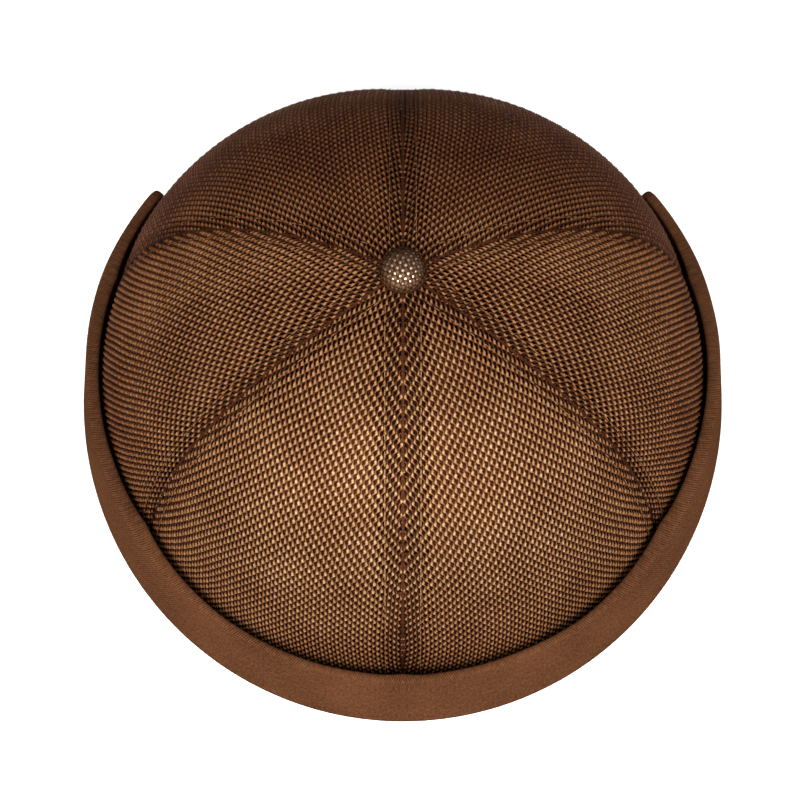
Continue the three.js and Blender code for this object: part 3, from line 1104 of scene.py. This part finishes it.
def coverStrands():
    # The same net as the crown's, laid over the dome at a slant.
    inset = button["netInset"]
    limit = button["radius"] - inset
    column = np.arange(-8, 9)
    reach = np.arange(-1.22 * limit, 1.22 * limit, button["netPeriod"] / 8)
    grid = reach[None, :] + 0 * column[:, None]
    phase = 2 * math.pi * grid / button["netPeriod"] + math.pi * column[:, None]
    u = column[:, None] * button["netPitch"] + button["netSway"] * np.sin(phase)
    v = grid
    # The flat net is stretched over the dome: distance from its middle becomes arc.
    radius = np.hypot(u, v) + 1e-9
    arc = np.clip(radius / limit, 0, 1.25)
    angle = np.clip(arc * math.pi / 2 * 0.83, 0, math.pi / 2)
    flat = limit * np.sin(angle)
    low = button["rim"] + inset
    z = low + (button["top"] - inset - low) * np.cos(angle)
    turn = button["netTurn"]
    x = (u * math.cos(turn) - v * math.sin(turn)) / radius * flat
    y = (u * math.sin(turn) + v * math.cos(turn)) / radius * flat
    rise = (z - low) / (button["top"] - low) ** 2 + 1e-6
    normal = unit(np.stack([x / limit ** 2, y / limit ** 2, rise], -1))
    centre = np.stack([x, y, z], -1) + normal * (button["netCrossing"] * np.sin(phase))[..., None]
    inside = angle < math.pi / 2 - 0.02
    thick = 1 - 0.1 * np.cos(2 * phase)
    width, thickness = button["netHalfWidth"] * thick, button["netHalfThickness"] * thick
    rings = tubeRings(centre, normal, width, thickness, 4) + np.array(apex)
    return rings.reshape(-1, 3), tubeFaces(inside, 4), yarnMarks(rings, grid, np.sin(phase), normal)


def coverHem():
    # The cover's gathered edge, a roll that hugs the crown all round.
    turns = np.linspace(0, 2 * math.pi, 145)
    gather = turns * button["gathers"]
    radius = button["radius"] - button["netInset"] + 0.06 * mm * np.sin(gather)
    z = button["rim"] + button["netInset"] + 0.1 * mm * np.sin(gather + 1)
    centre = np.stack([radius * np.cos(turns), radius * np.sin(turns), z], -1)
    normal = np.broadcast_to(np.array([0.0, 0.0, 1.0]), centre.shape)
    thick = button["hemHalfThickness"] + 0 * turns
    rings = (tubeRings(centre, normal, thick, thick, 6) + np.array(apex))[None]
    rings[:, -1] = rings[:, 0]
    faces = tubeFaces(np.ones((1, len(turns)), bool), 6)
    marks = yarnMarks(rings, turns[None] * button["radius"], 0 * turns[None] - 0.6, normal[None])
    return rings.reshape(-1, 3), faces, marks


buttonLook = {
    **knitLook,
    "stops": [(0.0, colour("120903")), (0.35, colour("2e1a0c")), (0.7, colour("3f291a")),
              (1.0, colour("664933"))],
    "deepAt": -0.75,
    "sheen": 0.12,
    "roughness": 0.5,
}
points, faces, marks = joinParts([coverStrands(), coverHem()])
buttonCloth = knitMaterial("buttonKnit", buttonLook)
coverPiece = addPiece("button_knit", points, faces, buttonCloth, yarnLayers(marks))
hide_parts("button_cover")
print("button made")


# Floor, light and camera

studio = {
    "floorSize": 6.0,
    "ceiling": 0.95,
    "walls": 0.15,
    "keyPower": 40,
    "keySize": 1.0,
    "keyDistance": 1.6,
    "keyElevation": 44 * degree,
    "keyAzimuth": 42 * degree,  # to each side of straight in front
    "keyAim": (0, 0, 0.05),
}

floorMesh = bpy.data.meshes.new("floor")
half = studio["floorSize"] / 2
floorCorners = [(-half, -half, 0), (half, -half, 0), (half, half, 0), (-half, half, 0)]
floorMesh.from_pydata(floorCorners, [], [(0, 1, 2, 3)])
floor = bpy.data.objects.new("floor", floorMesh)
bpy.context.scene.collection.objects.link(floor)
floor.location.z = -0.05 * mm
paper, wire, shader = newMaterial("palePaper", {"Roughness": 0.9, "Specular IOR Level": 0.1})
grain = wire.noise(3.0)
wire.feed(shader.inputs["Base Color"], grain.mix(colour("f4f4f4"), colour("f8f8f8")))
floorMesh.materials.append(paper)

world = bpy.data.worlds.new("studio")
world.use_nodes = True
sky = Wire(world.node_tree).node("ShaderNodeTexCoord", output="Generated")
lift = sky.parts()[2].between(0.0, 0.75)
light = lift * (studio["ceiling"] - studio["walls"]) + studio["walls"]
background = world.node_tree.nodes["Background"]
light.feed(background.inputs["Strength"], light)
background.inputs["Color"].default_value = (1, 1, 1, 1)
bpy.context.scene.world = world


def addSoftbox(name, power, size, place, target):
    lamp = bpy.data.lights.new(name, "AREA")
    lamp.shape = "RECTANGLE"
    lamp.size, lamp.size_y = size
    lamp.energy = power
    holder = bpy.data.objects.new(name, lamp)
    bpy.context.scene.collection.objects.link(holder)
    holder.location = place
    aim = Vector(target) - Vector(place)
    holder.rotation_euler = aim.to_track_quat("-Z", "Y").to_euler()


flat = studio["keyDistance"] * math.cos(studio["keyElevation"])
lampHeight = studio["keyDistance"] * math.sin(studio["keyElevation"])
for name, hand in (("keyLeft", -1), ("keyRight", 1)):
    sideways = hand * flat * math.sin(studio["keyAzimuth"])
    forwards = -flat * math.cos(studio["keyAzimuth"])
    size = (studio["keySize"], studio["keySize"])
    addSoftbox(name, studio["keyPower"], size, (sideways, forwards, lampHeight), studio["keyAim"])

# The camera's fit to the photo: elevation, distance, focal length and aim, with the
# cap's middle line a little right of the frame's.
view = {
    "elevation": 68.96 * degree,
    "distance": 1565 * mm,
    "aimBelow": 0.59 * mm,
    "aimLeft": 0.85 * mm,
    "pixelsPerMetre": 3228.0,
    "framePixels": 800,
    "sensor": 36.0,
}
camera = bpy.data.objects.new("camera", bpy.data.cameras.new("camera"))
bpy.context.scene.collection.objects.link(camera)
back = Vector((0, -math.cos(view["elevation"]), math.sin(view["elevation"])))
up = Vector((0, math.sin(view["elevation"]), math.cos(view["elevation"])))
aimPoint = Vector((-view["aimLeft"], planShift, 0)) - up * view["aimBelow"]
camera.location = aimPoint + back * view["distance"]
camera.rotation_euler = (-back).to_track_quat("-Z", "Y").to_euler()
camera.data.sensor_width = view["sensor"]
focalPixels = view["pixelsPerMetre"] * view["distance"]
camera.data.lens = focalPixels * view["sensor"] / view["framePixels"]
camera.data.clip_start = 0.01
camera.data.clip_end = 20
bpy.context.scene.camera = camera
bpy.context.scene.view_settings.view_transform = "Standard"
print("studio set")
